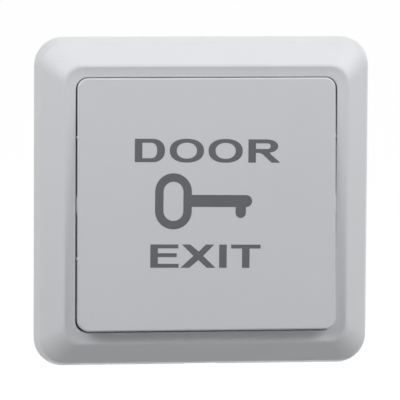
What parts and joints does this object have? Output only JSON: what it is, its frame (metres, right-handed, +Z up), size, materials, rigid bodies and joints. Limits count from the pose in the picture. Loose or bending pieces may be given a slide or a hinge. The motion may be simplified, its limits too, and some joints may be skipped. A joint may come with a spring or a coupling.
{
  "type": "door exit button",
  "caption": "Square bevelled wall plate with a large top-hinged push paddle over a two-terminal momentary switch housing.",
  "frame": {"origin": "in the wall plane, midway between the two wall-screw slots", "axes": "+X to the right seen from the front, +Z up, +Y into the wall; the paddle faces -Y"},
  "size_m": [0.086, 0.0297, 0.0842],
  "materials": {
    "white_cover": "satin",
    "white_paddle": "satin",
    "white_plate": "matte",
    "housing_plastic": "matte",
    "plunger_plastic": "satin",
    "spring_steel": "bright",
    "terminal_brass": "satin",
    "leaf_bronze": "satin",
    "contact_silver": "satin",
    "zinc_steel": "zinc plated"
  },
  "bodies": {
    "base": {"common_clamp": "zinc_steel", "common_terminal": "terminal_brass", "fixed_contact": "contact_silver", "housing_lid": "housing_plastic", "housing_screws": "zinc_steel", "leaf_rivet": "leaf_bronze", "lid_screws": "zinc_steel", "mounting_plate": "white_plate", "open_clamp": "zinc_steel", "open_terminal": "terminal_brass", "return_spring": "spring_steel", "switch_housing": "housing_plastic", "terminal_screws": "zinc_steel", "trim_frame": "white_cover"},
    "paddle": {"button_paddle": "white_paddle"},
    "plunger": {"plunger": "plunger_plastic"},
    "contact_arm": {"contact_leaf": "leaf_bronze", "moving_contact": "contact_silver"}
  },
  "joints": [
    {"name": "button_press", "type": "hinge", "parent": "base", "child": "paddle", "pos_m": [0, -0.0064, 0.02737], "axis": [1, 0, 0], "range_deg": [0, 3.38], "stiffness_Nm_per_rad": 0.9, "springref_deg": -4.58},
    {"name": "plunger_slide", "type": "slide", "parent": "base", "child": "plunger", "axis": [0, 1, 0], "range_m": [0, 0.00162], "deforming": ["return_spring"]},
    {"name": "contact_swing", "type": "hinge", "parent": "base", "child": "contact_arm", "pos_m": [0.01, 0.0073, 0], "axis": [0, 0, -1], "range_deg": [0, 9.25], "deforming": ["contact_leaf"]}
  ],
  "couplings": [
    {"joint": "plunger_slide", "follows": "button_press", "m_per_rad": 0.02737},
    {"joint": "contact_swing", "follows": "button_press", "ratio": 2.737}
  ]
}
